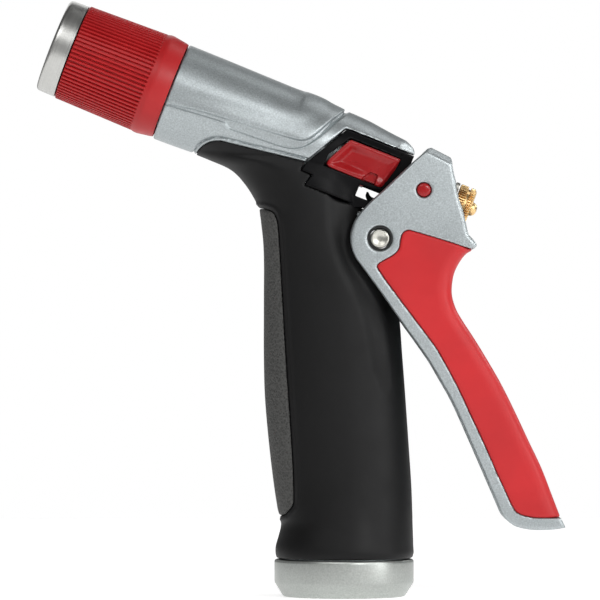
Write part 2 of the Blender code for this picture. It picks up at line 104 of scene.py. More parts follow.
def crosswise(x, z):
    """The frame of a piece turned about an axis across the nozzle."""
    return Matrix.Translation((x, 0, z)) @ Matrix.Rotation(math.pi / 2, 4, "X")


# ---------------------------------------------------------------- curves and fields

def smooth_line(points, steps=6):
    """A smooth curve (Catmull-Rom) through the points, its ends kept."""
    points = np.array(points, float)
    padded = np.vstack([2 * points[0] - points[1], points, 2 * points[-1] - points[-2]])
    t = np.linspace(0, 1, steps, endpoint=False)[:, None]
    runs = []
    for a, b, c, d in zip(padded, padded[1:], padded[2:], padded[3:]):
        square, cube = 2 * a - 5 * b + 4 * c - d, 3 * b - a - 3 * c + d
        runs.append(0.5 * (2 * b + (c - a) * t + square * t**2 + cube * t**3))
    return [tuple(p) for p in np.vstack(runs + [points[-1:]])]


def smooth_min(a, b, blend):
    """The union of two fields, with a fillet of about this size: smooth_max gives their overlap."""
    h = np.maximum(blend - np.abs(a - b), 0) / blend
    return np.minimum(a, b) - h * h * blend / 4


def smooth_max(a, b, blend):
    return -smooth_min(-a, -b, blend)


def ease(value, start, end):
    """0 before start, 1 after end, smooth between."""
    t = np.clip((value - start) / (end - start), 0, 1)
    return t * t * (3 - 2 * t)


def bump(value, middle, width):
    """1 at the middle, falling to 0 on both sides of it."""
    return np.exp(-(((value - middle) / width) ** 2))


def slab(value, low, high):
    """Distance outside the range, negative inside it."""
    return np.maximum(low - value, value - high)


def brick(s, p, s_range, p_range):
    """Distance outside a rectangle of the side view."""
    return np.maximum(slab(s, *s_range), slab(p, *p_range))


class Outline:
    """Signed distance to a closed outline, negative inside, kept on a grid and read by interpolation."""

    def __init__(self, points, step=0.25, margin=5.0):
        points = np.array(points, float)
        self.step = step
        self.low = points.min(0) - margin
        size = ((points.max(0) + margin - self.low) / step).astype(int) + 2
        u = self.low[0] + step * np.arange(size[0])[:, None]
        v = self.low[1] + step * np.arange(size[1])[None, :]
        nearest = np.full((size[0], size[1]), FAR)
        inside = np.zeros((size[0], size[1]), bool)
        for (u0, v0), (u1, v1) in zip(points, np.roll(points, -1, 0)):
            du, dv = u1 - u0, v1 - v0
            length = du * du + dv * dv
            if length == 0:
                continue
            t = np.clip(((u - u0) * du + (v - v0) * dv) / length, 0, 1)
            nearest = np.minimum(nearest, (u - u0 - t * du) ** 2 + (v - v0 - t * dv) ** 2)
            if v0 != v1:
                crosses = ((v0 > v) != (v1 > v)) & (u < du * (v - v0) / dv + u0)
                inside ^= crosses
        distance = np.sqrt(nearest)
        self.grid = np.where(inside, -distance, distance)

    def __call__(self, u, v):
        i = np.clip((u - self.low[0]) / self.step, 0, self.grid.shape[0] - 1.001)
        j = np.clip((v - self.low[1]) / self.step, 0, self.grid.shape[1] - 1.001)
        a, b = i.astype(int), j.astype(int)
        s, t = i - a, j - b
        g = self.grid
        near = g[a, b] * (1 - t) + g[a, b + 1] * t
        far = g[a + 1, b] * (1 - t) + g[a + 1, b + 1] * t
        return near * (1 - s) + far * s


CORNERS = [(i, j, k) for i in (0, 1) for j in (0, 1) for k in (0, 1)]
EDGES = [(a, b) for a in range(8) for b in range(a + 1, 8)
         if sum(abs(p - q) for p, q in zip(CORNERS[a], CORNERS[b])) == 1]


SETTLE_ROUNDS = 3
PROBE = 0.02  # how far on either side a field's slope is read
LEAST_SLOPE = 0.05  # squared, so that a flat place doesn't throw a point away


def settle(field, points, reach):
    """Moves points onto the field's zero surface, each by no more than reach."""
    start = points.copy()
    for _ in range(SETTLE_ROUNDS):
        value = field(*points.T)
        slope = np.stack([
            field(*(points + step).T) - field(*(points - step).T) for step in np.eye(3) * PROBE
        ], 1) / (2 * PROBE)
        size = np.maximum((slope**2).sum(1), LEAST_SLOPE)
        points = points - (value / size)[:, None] * slope
        points = start + np.clip(points - start, -reach, reach)
    return points


def net(field, low, high, cell):
    """Points and quads of the field's zero surface, by surface nets."""
    cell *= 1.0
    axes = [np.arange(a, b + cell, cell) for a, b in zip(low, high)]
    x, y, z = np.meshgrid(*axes, indexing="ij", sparse=True)
    shape = tuple(len(axis) for axis in axes)
    values = np.broadcast_to(field(x, y, z), shape).astype(np.float32)
    inside = values < 0
    count = sum(inside[tuple(slice(c, n - 1 + c) for c, n in zip(corner, shape))].astype(np.int8)
                for corner in CORNERS)
    mixed = (count > 0) & (count < 8)
    cells = np.argwhere(mixed)
    at = [values[tuple((cells + corner).T)] for corner in CORNERS]
    total, hits = np.zeros((len(cells), 3)), np.zeros(len(cells))
    for a, b in EDGES:
        crossing = (at[a] < 0) != (at[b] < 0)
        t = np.where(crossing, at[a] / np.where(crossing, at[a] - at[b], 1), 0)[:, None]
        start, end = np.array(CORNERS[a]), np.array(CORNERS[b])
        total += crossing[:, None] * (start + t * (end - start))
        hits += crossing
    points = (cells + total / hits[:, None]) * cell + np.array(low)
    points = settle(field, points, 0.5 * cell)
    index = np.full(mixed.shape, -1)
    index[mixed] = np.arange(len(cells))
    quads = []
    for axis in range(3):
        u, v = (axis + 1) % 3, (axis + 2) % 3
        first = np.take(inside, range(shape[axis] - 1), axis)
        second = np.take(inside, range(1, shape[axis]), axis)
        for change, flip in ((first & ~second, False), (~first & second, True)):
            found = np.argwhere(change)
            found = found[(found[:, u] > 0) & (found[:, v] > 0)
                          & (found[:, u] < shape[u] - 1) & (found[:, v] < shape[v] - 1)]
            du, dv = np.eye(3, dtype=int)[u], np.eye(3, dtype=int)[v]
            ring = [found - du - dv, found - dv, found, found - du]
            quad = np.stack([index[tuple(c.T)] for c in ring], 1)
            quads.append(quad[:, ::-1] if flip else quad)
    return points, np.vstack(quads)


# ---------------------------------------------------------------- making objects

SHAPED_SHARP = 50  # degrees from which an edge is drawn sharp
TURNED_SHARP = 40
WELD = 1e-7  # metres


def add_object(name, data):
    made = bpy.data.objects.new(name, data)
    bpy.context.scene.collection.objects.link(made)
    return made


def smooth_shading(mesh, sharp):
    mesh.shade_smooth()
    mesh.set_sharp_from_angle(angle=math.radians(sharp))


def mesh_object(name, points, faces):
    mesh = bpy.data.meshes.new(name)
    mesh.from_pydata((points * MM).tolist(), [], faces.tolist())
    mesh.update()
    return add_object(name, mesh)


def shaped(name, field, low, high, cell):
    """A piece whose surface is where the field is zero, looked for between low and high."""
    made = mesh_object(name, *net(field, low, high, cell))
    smooth_shading(made.data, SHAPED_SHARP)
    return made


def fitted(name, node, field, cell, below=1.0, above=1.0):
    """A shaped piece looked for round a CAD node's box."""
    low, high = box_mm(node)
    return shaped(name, field, np.array(low) - below, np.array(high) + above, cell)


def rounded(profile, radius=0.25, steps=3):
    """A closed profile with each of its corners cut by a small arc."""
    profile = [np.array(p, float) for p in profile]
    points = []
    for before, corner, after in zip(profile[-1:] + profile[:-1], profile, profile[1:] + profile[:1]):
        a, b = before - corner, after - corner
        la, lb = np.hypot(*a), np.hypot(*b)
        reach = min(radius, la * 0.4, lb * 0.4)
        if corner[0] == 0 or reach < 1e-6:
            points.append(tuple(corner))
            continue
        start, end = corner + a / la * reach, corner + b / lb * reach
        for t in np.linspace(0, 1, steps + 1):
            points.append(tuple((1 - t) ** 2 * start + 2 * t * (1 - t) * corner + t * t * end))
    return points


def turned(name, profile, place, steps=128, edge=0.25, relief=None, sharp=TURNED_SHARP):
    """A turned piece: (radius, height) points down its outer side and back up inside.

    relief(radius, height, turn) may give the surface's change of radius."""
    outline = np.array(rounded(profile, edge) if edge else profile, float)
    turn = np.linspace(0, 2 * math.pi, steps, endpoint=False)
    radius, height = outline[:, 0][:, None], outline[:, 1][:, None]
    grown = radius + (relief(radius, height, turn[None, :]) if relief else 0)
    grown = np.where(radius == 0, 0, grown) + np.zeros((1, steps))
    points = np.stack([grown * np.cos(turn), grown * np.sin(turn), height + np.zeros_like(grown)], 2)
    rows = len(outline)
    here = np.arange(rows)[:, None] * steps + np.arange(steps)[None, :]
    below = np.roll(here, -1, 0)
    quads = np.stack([here, below, np.roll(below, -1, 1), np.roll(here, -1, 1)], 2)
    if profile[0][0] == 0 and profile[-1][0] == 0:
        quads = quads[:-1]
    matrix = np.array(place)
    placed = points.reshape(-1, 3) @ matrix[:3, :3].T + matrix[:3, 3]
    made = mesh_object(name, placed, quads.reshape(-1, 4))
    work = bmesh.new()
    work.from_mesh(made.data)
    bmesh.ops.remove_doubles(work, verts=work.verts, dist=WELD)
    bmesh.ops.dissolve_degenerate(work, edges=work.edges, dist=WELD)
    bmesh.ops.recalc_face_normals(work, faces=work.faces)
    work.to_mesh(made.data)
    work.free()
    smooth_shading(made.data, sharp)
    return made


def wire(name, points, radius, sides=12):
    """A round wire along (x, y, z) points, its ends capped."""
    curve = bpy.data.curves.new(name, "CURVE")
    curve.dimensions = "3D"
    curve.bevel_depth = radius * MM
    curve.bevel_resolution = sides // 4
    curve.use_fill_caps = True
    spline = curve.splines.new("POLY")
    spline.points.add(len(points) - 1)
    for point, place in zip(spline.points, points):
        point.co = (*(value * MM for value in place), 1)
    made = add_object(name, curve)
    bpy.context.view_layer.update()
    mesh = bpy.data.meshes.new_from_object(made.evaluated_get(bpy.context.evaluated_depsgraph_get()))
    bpy.data.objects.remove(made)
    mesh.shade_smooth()
    return add_object(name, mesh)


# ---------------------------------------------------------------- materials

NOISE_SPAN = (0.3, 0.7)  # where most of a noise texture's values lie


class Shader:
    """A Principled material with its node tree at hand."""

    def __init__(self, name, colour, roughness, metallic=0.0, **settings):
        self.material = bpy.data.materials.new(name)
        self.material.use_nodes = True
        self.tree = self.material.node_tree
        self.main = self.tree.nodes["Principled BSDF"]
        self.main.inputs["Base Color"].default_value = (*colour, 1)
        self.main.inputs["Roughness"].default_value = roughness
        self.main.inputs["Metallic"].default_value = metallic
        for socket, value in settings.items():
            self.main.inputs[socket].default_value = value
        self.place = self.add("ShaderNodeTexCoord").outputs["Object"]
        self.normal = None

    def add(self, kind, **values):
        made = self.tree.nodes.new(kind)
        for key, value in values.items():
            if key in made.inputs:
                made.inputs[key].default_value = value
            else:
                setattr(made, key, value)
        return made

    def link(self, start, end):
        self.tree.links.new(start, end)

    def stretched(self, scale, turn=0.0):
        """Object coordinates turned about Y, moved to the barrel's axis and scaled along each direction."""
        shift = self.add("ShaderNodeMapping")
        shift.inputs["Location"].default_value = (-MOUTH[0] * MM, 0, -MOUTH[1] * MM)
        turned_to = self.add("ShaderNodeMapping")
        turned_to.inputs["Rotation"].default_value = (0, turn, 0)
        scaled = self.add("ShaderNodeMapping")
        scaled.inputs["Scale"].default_value = scale
        self.link(self.place, shift.inputs["Vector"])
        self.link(shift.outputs["Vector"], turned_to.inputs["Vector"])
        self.link(turned_to.outputs["Vector"], scaled.inputs["Vector"])
        return scaled.outputs["Vector"]

    def noise(self, scale, detail=3.0, vector=None, roughness=0.5):
        made = self.add("ShaderNodeTexNoise", Scale=scale, Detail=detail, Roughness=roughness)
        self.link(vector or self.place, made.inputs["Vector"])
        return made.outputs["Fac"]

    def cells(self, scale):
        made = self.add("ShaderNodeTexVoronoi", Scale=scale)
        self.link(self.place, made.inputs["Vector"])
        return made.outputs["Distance"]

    def tint(self, value, colours, places=NOISE_SPAN):
        """Colours along a value, which become the base colour."""
        ramp = self.add("ShaderNodeValToRGB")
        while len(ramp.color_ramp.elements) < len(colours):
            ramp.color_ramp.elements.new(0.5)
        for element, colour, place in zip(ramp.color_ramp.elements, colours, places):
            element.position = place
            element.color = (*colour, 1)
        self.link(value, ramp.inputs["Fac"])
        self.link(ramp.outputs["Color"], self.main.inputs["Base Color"])

    def gloss(self, value, low, high):
        """Roughness from low to high along a value."""
        made = self.add("ShaderNodeMapRange")
        for key, number in zip(("From Min", "From Max", "To Min", "To Max"), (*NOISE_SPAN, low, high)):
            made.inputs[key].default_value = number
        self.link(value, made.inputs["Value"])
        self.link(made.outputs["Result"], self.main.inputs["Roughness"])

    def relief(self, value, strength, distance):
        """Fine bump, added to the bump that the material has already."""
        made = self.add("ShaderNodeBump", Strength=strength, Distance=distance)
        self.link(value, made.inputs["Height"])
        if self.normal:
            self.link(self.normal, made.inputs["Normal"])
        self.normal = made.outputs["Normal"]
        self.link(self.normal, self.main.inputs["Normal"])


def scaled(colour, factor):
    return tuple(value * factor for value in colour)


def silver_paint():
    base = (0.4, 0.435, 0.445)
    made = Shader("zinc_paint", base, 0.45, 0.82)
    grain = made.noise(2600, 2.0)
    cloud = made.noise(60, 4.0)
    made.tint(grain, [scaled(base, 0.82), base, scaled(base, 1.22)], [0.3, 0.5, 0.72])
    made.gloss(cloud, 0.4, 0.5)
    made.relief(grain, 0.25, 0.00006)
    return made.material


def collar_metal():
    base = (0.42, 0.44, 0.42)
    made = Shader("collar_metal", base, 0.36, 0.85)
    grain = made.noise(2300, 2.0)
    made.tint(grain, [scaled(base, 0.88), base, scaled(base, 1.12)], [0.3, 0.5, 0.72])
    made.gloss(made.noise(90, 3.0), 0.3, 0.44)
    made.relief(grain, 0.2, 0.00005)
    return made.material


def grip_rubber():
    base = (0.004, 0.004, 0.0042)
    made = Shader("grip_rubber", base, 0.52, **{"Specular IOR Level": 0.22})
    fine = made.noise(3200, 2.0)
    made.tint(made.noise(45, 4.0), [scaled(base, 0.8), scaled(base, 1.25)])
    made.gloss(made.noise(120, 3.0), 0.46, 0.58)
    made.relief(fine, 0.22, 0.00005)
    return made.material


def pad_rubber():
    base = (0.042, 0.042, 0.04)
    made = Shader("pad_rubber", base, 0.72)
    grains = made.cells(1500)
    fine = made.noise(2400, 3.0)
    made.tint(grains, [scaled(base, 0.55), scaled(base, 1.5)], [0.1, 0.6])
    made.relief(grains, 0.75, 0.00022)
    made.relief(fine, 0.3, 0.00008)
    return made.material


def red_plastic(name, base, roughness, grain):
    made = Shader(name, base, roughness, **{"Specular IOR Level": 0.36})
    made.tint(made.noise(55, 4.0), [scaled(base, 0.9), scaled(base, 1.08)])
    made.gloss(made.noise(150, 3.0), roughness - 0.05, roughness + 0.05)
    made.relief(made.noise(2800, 2.0), grain, 0.00005)
    return made.material


def brushed_steel():
    base = (0.56, 0.56, 0.54)
    made = Shader("brushed_steel", base, 0.34, 1.0)
    rings = made.noise(1.0, 4.0, made.stretched((120, 120, 9000), -LEAN), 0.6)
    made.tint(rings, [scaled(base, 0.86), scaled(base, 1.1)])
    made.gloss(rings, 0.28, 0.4)
    made.relief(rings, 0.3, 0.00003)
    return made.material


def plain_metal(name, base, roughness):
    made = Shader(name, base, roughness, 1.0)
    marks = made.noise(1.0, 4.0, made.stretched((900, 900, 5200), -LEAN), 0.6)
    made.tint(marks, [scaled(base, 0.82), scaled(base, 1.12)])
    made.gloss(made.noise(300, 4.0), max(roughness - 0.07, 0.08), roughness + 0.1)
    made.relief(marks, 0.05, 0.00003)
    return made.material


def dark_plastic(name, base, roughness, grain=0.1, shine=0.3):
    made = Shader(name, base, roughness, **{"Specular IOR Level": shine})
    made.tint(made.noise(70, 4.0), [scaled(base, 0.75), scaled(base, 1.3)])
    made.gloss(made.noise(160, 3.0), max(roughness - 0.06, 0.05), roughness + 0.08)
    made.relief(made.noise(2600, 2.0), grain, 0.00004)
    return made.material


LOOKS = {
    "zinc_paint": silver_paint(),
    "collar_metal": collar_metal(),
    "grip_rubber": grip_rubber(),
    "pad_rubber": pad_rubber(),
    "brushed_steel": brushed_steel(),
    "red_grip": red_plastic("red_grip", (0.41, 0.011, 0.013), 0.42, 0.06),
    "red_plastic": red_plastic("red_plastic", (0.31, 0.009, 0.011), 0.26, 0.08),
    "red_pad": red_plastic("red_pad", (0.5, 0.014, 0.017), 0.46, 0.25),
    "black_gloss": dark_plastic("black_gloss", (0.004, 0.004, 0.0045), 0.42, 0.06, 0.08),
    "black_plastic": dark_plastic("black_plastic", (0.014, 0.014, 0.014), 0.4),
    "pin_steel": plain_metal("pin_steel", (0.56, 0.55, 0.5), 0.3),
    "brass": plain_metal("brass", (0.8, 0.56, 0.27), 0.34),
    "seal_rubber": dark_plastic("seal_rubber", (0.016, 0.016, 0.016), 0.6, 0.3),
}


def finish(piece, body, slot, *replaced):
    """Gives a piece its body, its material slot and look, and hides the CAD nodes it stands for."""
    piece.data.materials.clear()
    piece.data.materials.append(LOOKS[slot])
    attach(piece, body)
    if replaced:
        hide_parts(*replaced)
    return piece


# ---------------------------------------------------------------- outlines of the side view

# Height, front, rear and half width of the handle, from the foot up to the barrel.
HANDLE = smooth_line([
    (10.9, -6.8, 31.9, 19.1), (12.4, -7.1, 32.3, 19.4), (14.4, -7.0, 32.2, 19.2),
    (17.6, -6.1, 32.1, 18.4), (20.5, -5.5, 32.0, 17.7), (24.0, -6.0, 31.9, 17.1),
    (32.0, -7.2, 31.6, 16.2), (44.0, -8.6, 30.8, 15.6), (57.0, -9.7, 29.9, 15.2),
    (69.0, -10.0, 29.0, 15.0), (79.0, -10.0, 28.2, 14.8), (87.0, -10.0, 26.6, 14.7),
    (94.0, -10.0, 23.5, 14.6), (100.0, -10.2, 20.6, 14.5), (105.0, -10.7, 19.4, 14.4),
    (109.5, -11.4, 19.2, 14.3), (113.6, -13.4, 19.2, 14.1), (116.6, -15.3, 19.0, 13.9),
    (119.6, -17.7, 18.0, 13.6), (122.0, -20.2, 15.0, 13.2), (124.0, -24.4, 11.0, 12.2),
    (125.3, -27.2, 6.0, 10.4), (126.6, -29.8, 2.0, 7.4),
], 5)
HANDLE_Z, HANDLE_FRONT, HANDLE_REAR, HANDLE_HALF = np.array(HANDLE).T
ROUNDNESS = 2.25  # of the handle's section: 2 is an ellipse

# Where the grip sleeve ends under the barrel, along it and up from its axis.
SLEEVE_EDGE = smooth_line([
    (49.0, -17.5), (49.2, -15.5), (49.6, -13.0), (50.5, -11.1), (52.2, -9.4), (54.6, -8.25),
]) + [(79.0, -5.1)]
SLEEVE_ZONE = Outline(SLEEVE_EDGE + [
    (78.7, -7.8), (82.1, -7.9), (81.1, -11.3), (101.0, -11.3), (190, -60), (190, -160), (0, -160),
    (49.0, -60),
], 0.35)
WINDOW_ZONE = Outline([
    (79.0, -5.08), (86.4, 8.2), (114, 8.2), (114, -22), (78, -22), (70, -12),
])
HOOD_EDGE = smooth_line([
    (20, -4.6), (34, -4.2), (36.2, -4.1), (44.4, -2.7), (54.7, -1.8), (65.0, -0.9), (73.0, -0.25),
    (76.0, 0.3), (77.9, 1.8), (79.4, 4.2), (81.4, 8.2), (83.6, 12.0), (85.2, 14.8),
])
HOOD = Outline(HOOD_EDGE + [(85.2, 20), (20, 20)])
CHANNEL_LOW = smooth_line([
    (20, -5.4), (34, -4.9), (43.3, -4.0), (52.9, -3.3), (54.2, -3.4), (55.6, -4.3), (59.7, -4.2),
    (67.8, -3.85), (73.0, -3.4), (75.8, -2.4), (77.9, -0.6), (80.3, 2.8), (82.6, 7.6), (84.7, 11.6),
    (86.2, 14.8),
])
CHANNEL = Outline(HOOD_EDGE + CHANNEL_LOW[::-1])

# The barrel's radius along its axis, below the hood's edge and above it.
BARREL_LOW = np.array(smooth_line([
    (36, 14.5), (42, 14.4), (49, 14.15), (60, 13.9), (70, 13.6), (80, 13.25), (84, 13.0), (87.7, 12.9),
    (91.9, 12.66), (96.2, 12.1), (100.5, 11.6), (103.4, 11.3), (105.2, 10.6), (106.8, 9.6), (107.5, 8.2),
]))
BARREL_HOOD = np.array(smooth_line([
    (36, 14.1), (50, 13.95), (66, 13.7), (71, 13.75), (73, 14.0), (77, 14.0), (80.8, 13.75),
    (83.5, 13.3), (86, 13.0),
]))

# The front pad and the flattened rear side of the handle, in the side view.
PAD_ZONE = Outline(smooth_line([
    (-16.0, 110.3), (-11.5, 110.3), (-9.6, 109.9), (-7.7, 109.0), (-6.6, 106.6), (-6.2, 103.3),
    (-5.8, 97.5), (-5.4, 90.4), (-4.2, 69.2), (-2.8, 48.6), (-2.1, 36.8), (-1.9, 28.2), (-2.2, 26.1),
    (-3.5, 24.4), (-5.3, 23.1), (-16.0, 20.0),
]))
RELIEF = Outline(smooth_line([
    (9.6, 112.0), (10.2, 103.0), (12.4, 95.2), (15.5, 89.2), (18.3, 82.6), (20.8, 73.8), (22.2, 66),
    (25.0, 60),
]) + [(45, 55), (45, 125), (12, 125)])


def handle_field(x, y, z):
    front = np.interp(z, HANDLE_Z, HANDLE_FRONT)
    rear = np.interp(z, HANDLE_Z, HANDLE_REAR)
    half = np.interp(z, HANDLE_Z, HANDLE_HALF)
    reach = (rear - front) / 2
    u = np.abs(x - (front + rear) / 2) / reach
    v = np.abs(y) / half
    share = (u**ROUNDNESS + v**ROUNDNESS + 1e-9) ** (1 / ROUNDNESS)
    return (share - 1) * np.minimum(reach, half)


FLANGE_LOW, FLANGE_TOP, FLANGE_R = 9.0, 14.0, 17.2
WATER_WAY = [(COLLAR_X, FLANGE_LOW), (COLLAR_X, 30.0), (5.5, 98.0), (-3.5, 124.5)]
TUBE_OUT, TUBE_IN = 9.4, 6.5
CHAMBER_R, SPIGOT_R, NECK_R = 12.0, 10.6, 6.5
SPIGOT_BORE, CHAMBER_BORE, THROAT_BORE, STEM_BORE, GLAND_BORE = 8.9, 9.3, 5.2, 2.5, 4.6
PIN_BORE = 2.9
BARREL_FRONT, BARREL_REAR = 36.25, 107.5
CHANNEL_DEPTH, LIP_DEPTH, HOOD_DIP = 0.75, 0.6, 0.28
HOOD_DIP_AT, HOOD_DIP_UP = [34, 54.7, 74], [-4.2, -1.8, -0.1]
CORE_GAP = 0.3  # between the core and what is moulded round it


def tube_field(x, y, z, radius):
    nearest = FAR
    for (x0, z0), (x1, z1) in zip(WATER_WAY, WATER_WAY[1:]):
        dx, dz = x1 - x0, z1 - z0
        t = np.clip(((x - x0) * dx + (z - z0) * dz) / (dx * dx + dz * dz), 0, 1)
        nearest = np.minimum(nearest, (x - x0 - t * dx) ** 2 + (z - z0 - t * dz) ** 2 + y * y)
    return np.sqrt(nearest) - radius


LUG_ARM = Outline([(2, 108), (2, 88), (14, 88), (24, 96.5), (24, 107), (16, 109.5)])


def core_field(x, y, z):
    """The casting inside the sleeve: chamber wall, water tube, foot flange and pivot lug."""
    s, p = to_barrel(x, z)
    chamber = np.maximum(np.hypot(p, y) - CHAMBER_R, slab(s, 46, 83))
    tube = np.maximum(tube_field(x, y, z, TUBE_OUT), FLANGE_LOW - z)
    flange = np.maximum(np.hypot(x - COLLAR_X, y) - FLANGE_R, slab(z, FLANGE_LOW, FLANGE_TOP))
    arm = smooth_max(LUG_ARM(x, z), np.abs(y) - 9.0, 1.0)
    boss = smooth_max(np.hypot(x - PIVOT[0], z - PIVOT[1]) - 5.6, np.abs(y) - 12.3, 0.6)
    lug = smooth_min(arm, boss, 2.0)
    return np.minimum(np.minimum(chamber, tube), np.minimum(flange, lug))


def casting_field(x, y, z):
    """The painted casting: hood and lower barrel, the channel between them and the lip over the sleeve."""
    s, p = to_barrel(x, z)
    r = np.hypot(p, y)
    hood = HOOD(s, p)
    low = np.interp(s, *BARREL_LOW.T)
    high = np.interp(s, *BARREL_HOOD.T)
    # The hood dips softly in a band that follows its lower edge and its slanting end.
    over_edge = (p - np.interp(s, HOOD_DIP_AT, HOOD_DIP_UP)) * 0.98
    before_end = -0.8758 * (s - 79.1) + 0.4826 * (p - 3.7)
    high = high - HOOD_DIP * bump(smooth_min(over_edge, before_end, 5.0), 3.4, 2.2)
    on_hood = 1 - ease(hood, -0.35, 0.35)
    radius = low + (high - low) * on_hood - CHANNEL_DEPTH * (1 - ease(CHANNEL(s, p), -0.4, 0.2))
    sleeve = SLEEVE_ZONE(s, p)
    radius = radius - LIP_DEPTH * bump(sleeve, 1.0, 0.3)
    skin = smooth_max(r - radius, BARREL_FRONT - s, 0.5)
    skin = smooth_max(skin, s - BARREL_REAR, 1.6)
    # A flat facet slants across each rear shoulder.
    facet = 0.506 * s + 0.70 * p + 0.50 * np.abs(y) - 61.55
    skin = smooth_max(skin, facet, 0.35)
    skin = smooth_max(skin, -sleeve, 0.5)
    skin = smooth_max(skin, -WINDOW_ZONE(s, p), 0.45)
    # Inside, the core, the head's spigot and the gland's neck are added, and the bores are taken away.
    inner = np.minimum(core_field(x, y, z), np.maximum(r - SPIGOT_R, slab(s, 22.3, 38)))
    inner = np.minimum(inner, np.maximum(r - NECK_R, slab(s, 80, 88)))
    solid = np.minimum(skin, inner)
    bores = np.minimum(np.maximum(r - SPIGOT_BORE, s - 38), np.maximum(r - CHAMBER_BORE, slab(s, 40.6, 79)))
    bores = np.minimum(bores, np.maximum(r - THROAT_BORE, s - 45))
    bores = np.minimum(bores, np.maximum(r - STEM_BORE, 70 - s))
    bores = np.minimum(bores, np.maximum(r - GLAND_BORE, 82 - s))
    bores = np.minimum(bores, tube_field(x, y, z, TUBE_IN))
    bores = np.minimum(bores, np.hypot(x - PIVOT[0], z - PIVOT[1]) - PIN_BORE)
    return np.maximum(solid, -bores)


def make_casting():
    upper = shaped("barrel_casting", casting_field, (-54, -16, 86), (35, 16, 160), 0.38)
    finish(upper, "body", "zinc_paint", "body_casting")

    def tube(x, y, z):
        flange = np.maximum(np.hypot(x - COLLAR_X, y) - FLANGE_R, z - FLANGE_TOP)
        core = np.maximum(np.minimum(tube_field(x, y, z, TUBE_OUT), flange), slab(z, FLANGE_LOW, 87.0))
        return np.maximum(core, -tube_field(x, y, z, TUBE_IN))

    lower = shaped("water_tube", tube, (-8, -19, 7), (32, 19, 89), 0.9)
    finish(lower, "body", "zinc_paint", "body_casting")


TONGUE_AT, TONGUE_R = [47, 60, 80, 95], [14.15, 14.0, 13.55, 13.2]
SLEEVE_LOW = 10.95


def sleeve_field(x, y, z):
    """The rubber grip: handle and tongue under the barrel, hollow for the core, with the pad's pocket."""
    s, p = to_barrel(x, z)
    handle = handle_field(x, y, z)
    pad = PAD_ZONE(x, z)
    handle = handle - 0.28 * bump(pad, 1.15, 0.45) * (x < 6)
    handle = smooth_max(handle, z - 128, 1.0)
    tongue = smooth_max(np.hypot(p, y) - np.interp(s, TONGUE_AT, TONGUE_R), s - TONGUE_AT[-1], 0.5)
    form = smooth_min(handle, tongue, 2.2)
    form = smooth_max(form, SLEEVE_ZONE(s, p) + 0.06, 0.35)
    form = smooth_max(form, SLEEVE_LOW - z, 0.5)
    relief = smooth_max(RELIEF(x, z), 12.35 - np.abs(y), 3.5)
    form = smooth_max(form, -relief, 3.0)
    pocket = np.maximum(pad - 0.14, -(handle_field(x, y, z) + 1.8))
    form = smooth_max(form, -pocket, 0.4)
    return np.maximum(form, -(core_field(x, y, z) - CORE_GAP))


def pad_field(x, y, z):
    handle = handle_field(x, y, z)
    pad = PAD_ZONE(x, z)
    proud = 0.12 + 0.2 * ease(-pad, 0.0, 2.2)
    form = smooth_max(handle - proud, pad, 0.8)
    return smooth_max(form, -(handle + 1.5), 0.3)


def make_grip():
    sleeve = shaped("grip_cover", sleeve_field, (-33, -20.5, 10), (33.5, 20.5, 131), 0.5)
    finish(sleeve, "body", "grip_rubber", "grip_sleeve")
    pad = shaped("grip_front_pad", pad_field, (-14, -15, 21), (0, 15, 112), 0.42)
    finish(pad, "body", "pad_rubber", "grip_pad")


# ---------------------------------------------------------------- housing and lock

HOUSING = Outline([
    (80.0, -4.3), (86.7, 7.9), (107.3, 7.9), (107.1, 5.75), (88.6, 5.9), (84.4, -0.6), (84.2, -4.08),
    (104.0, -4.08), (103.4, -5.3), (95.8, -5.3), (95.8, -9.4), (97.0, -11.15), (81.3, -11.15), (82.35, -7.75),
    (78.9, -7.65), (79.5, -5.0),
], 0.15)
LOCK = Outline(smooth_line([
    (89.2, 5.5), (88.4, 4.9), (85.6, -0.6), (84.9, -2.6), (85.2, -3.6), (86.4, -4.0),
]) + [(104.0, -4.0), (104.0, 5.5)], 0.15)
LOCK_TAB = Outline([(95.6, -5.5), (95.8, -3.2), (97.3, -0.9), (99.6, -0.9), (99.9, -5.5)], 0.15)
# The housing's radius along the barrel.
HOUSING_AT = [77, 80, 88, 94, 100.5, 104.6, 107]
HOUSING_R = [13.5, 13.35, 12.6, 12.15, 11.5, 10.7, 9.3]


def housing_field(x, y, z):
    """The black frame of the lock's window, with the shield behind it and the ledge over its rear end."""
    s, p = to_barrel(x, z)
    r = np.hypot(p, y)
    skin = r - np.interp(s, HOUSING_AT, HOUSING_R)
    skin = smooth_min(skin, smooth_max(handle_field(x, y, z), z - 126.4, 1.0), 2.0)
    form = smooth_max(skin, HOUSING(s, p), 0.35)
    hollow = np.maximum(np.maximum(np.abs(y) - 9.2, 83.3 - s), np.maximum(p - 7.0, -9.3 - p))
    hollow = np.maximum(hollow, 0.6 * (p - 5.8) + 0.8 * (np.abs(y) - 8.0))
    form = smooth_max(form, -hollow, 0.3)
    shield = brick(s, p, (103.9, 107.2), (-4.3, 7.4))
    fill = brick(s, p, (101.6, 107.2), (-4.3, 3.6))
    shield = smooth_max(np.maximum(np.minimum(shield, fill), np.abs(y) - 9.0), 2.6 - r, 0.3)
    form = np.minimum(form, shield)
    heel = smooth_max(brick(s, p, (94.5, 101.3), (-12.4, -8.75)), slab(np.abs(y), 4.8, 10.5), 0.4)
    form = np.minimum(form, heel)
    ledge = smooth_max(np.hypot(s - 103.0, p - 11.2) - 6.6, skin + 0.55, 0.3)
    ledge = np.maximum(ledge, np.maximum(9.4 - np.abs(y), 5.85 - p))
    form = np.minimum(form, np.maximum(ledge, s - 107.1))
    return np.maximum(form, -(core_field(x, y, z) - CORE_GAP))


